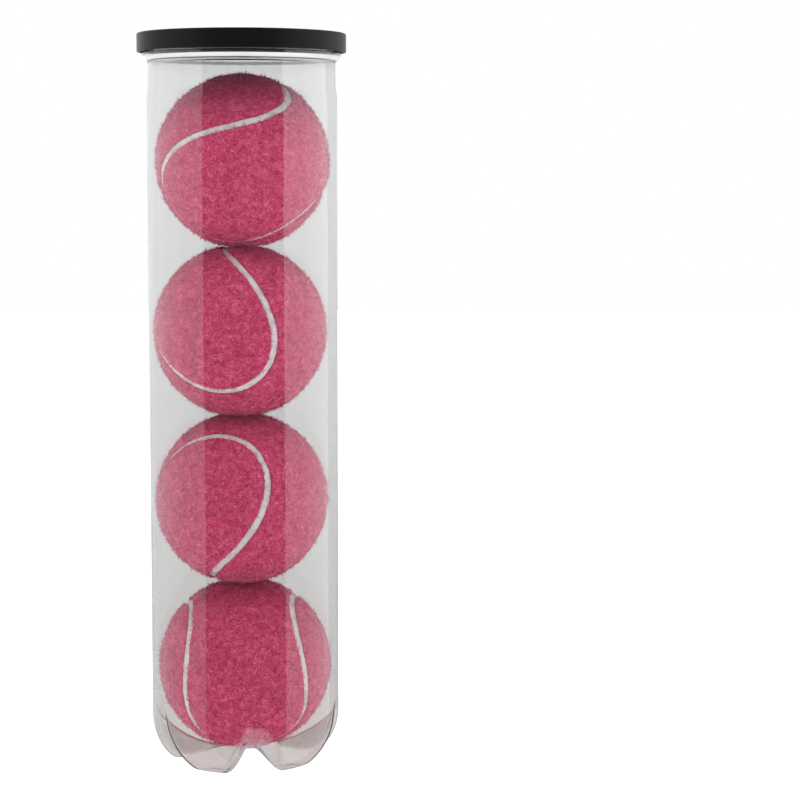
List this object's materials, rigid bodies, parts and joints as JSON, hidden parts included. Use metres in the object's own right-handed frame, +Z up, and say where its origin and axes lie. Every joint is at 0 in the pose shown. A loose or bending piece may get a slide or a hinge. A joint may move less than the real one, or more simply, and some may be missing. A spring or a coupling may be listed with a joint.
{
  "type": "tennis ball can",
  "caption": "Clear blow-moulded can with a five-footed base and a black push-fit lid, holding a stack of four pink felt tennis balls.",
  "frame": {"origin": "on the can's axis, in the plane its feet stand on", "axes": "+Z up the can towards the lid, -Y towards the front of the can, +X to the right seen from the front"},
  "size_m": [0.0808, 0.0808, 0.2848],
  "materials": {
    "clear_plastic": "clear, glossy",
    "black_plastic": "satin",
    "felt": "napped felt",
    "seam_rubber": "matt, slightly soiled white",
    "core_rubber": "matt"
  },
  "bodies": {
    "can": {"can_body": "clear_plastic"},
    "ball_1": {"ball_1_felt_a": "felt", "ball_1_felt_b": "felt", "ball_1_seam": "seam_rubber", "ball_1_core_half_a": "core_rubber", "ball_1_core_half_b": "core_rubber"},
    "ball_2": {"ball_2_felt_a": "felt", "ball_2_felt_b": "felt", "ball_2_seam": "seam_rubber", "ball_2_core_half_a": "core_rubber", "ball_2_core_half_b": "core_rubber"},
    "ball_3": {"ball_3_felt_a": "felt", "ball_3_felt_b": "felt", "ball_3_seam": "seam_rubber", "ball_3_core_half_a": "core_rubber", "ball_3_core_half_b": "core_rubber"},
    "ball_4": {"ball_4_felt_a": "felt", "ball_4_felt_b": "felt", "ball_4_seam": "seam_rubber", "ball_4_core_half_a": "core_rubber", "ball_4_core_half_b": "core_rubber"},
    "lid": {"lid": "black_plastic"}
  },
  "joints": [
    {"name": "ball_1_lift", "type": "slide", "parent": "can", "child": "ball_1", "axis": [0, 0, 1], "range_m": [0, 0.285]},
    {"name": "ball_2_lift", "type": "slide", "parent": "ball_1", "child": "ball_2", "axis": [0, 0, 1], "range_m": [0, 0.22]},
    {"name": "ball_3_lift", "type": "slide", "parent": "ball_2", "child": "ball_3", "axis": [0, 0, 1], "range_m": [0, 0.155]},
    {"name": "ball_4_lift", "type": "slide", "parent": "ball_3", "child": "ball_4", "axis": [0, 0, 1], "range_m": [0, 0.09]},
    {"name": "lid_lift", "type": "slide", "parent": "ball_4", "child": "lid", "axis": [0, 0, 1], "range_m": [0, 0.06]}
  ]
}
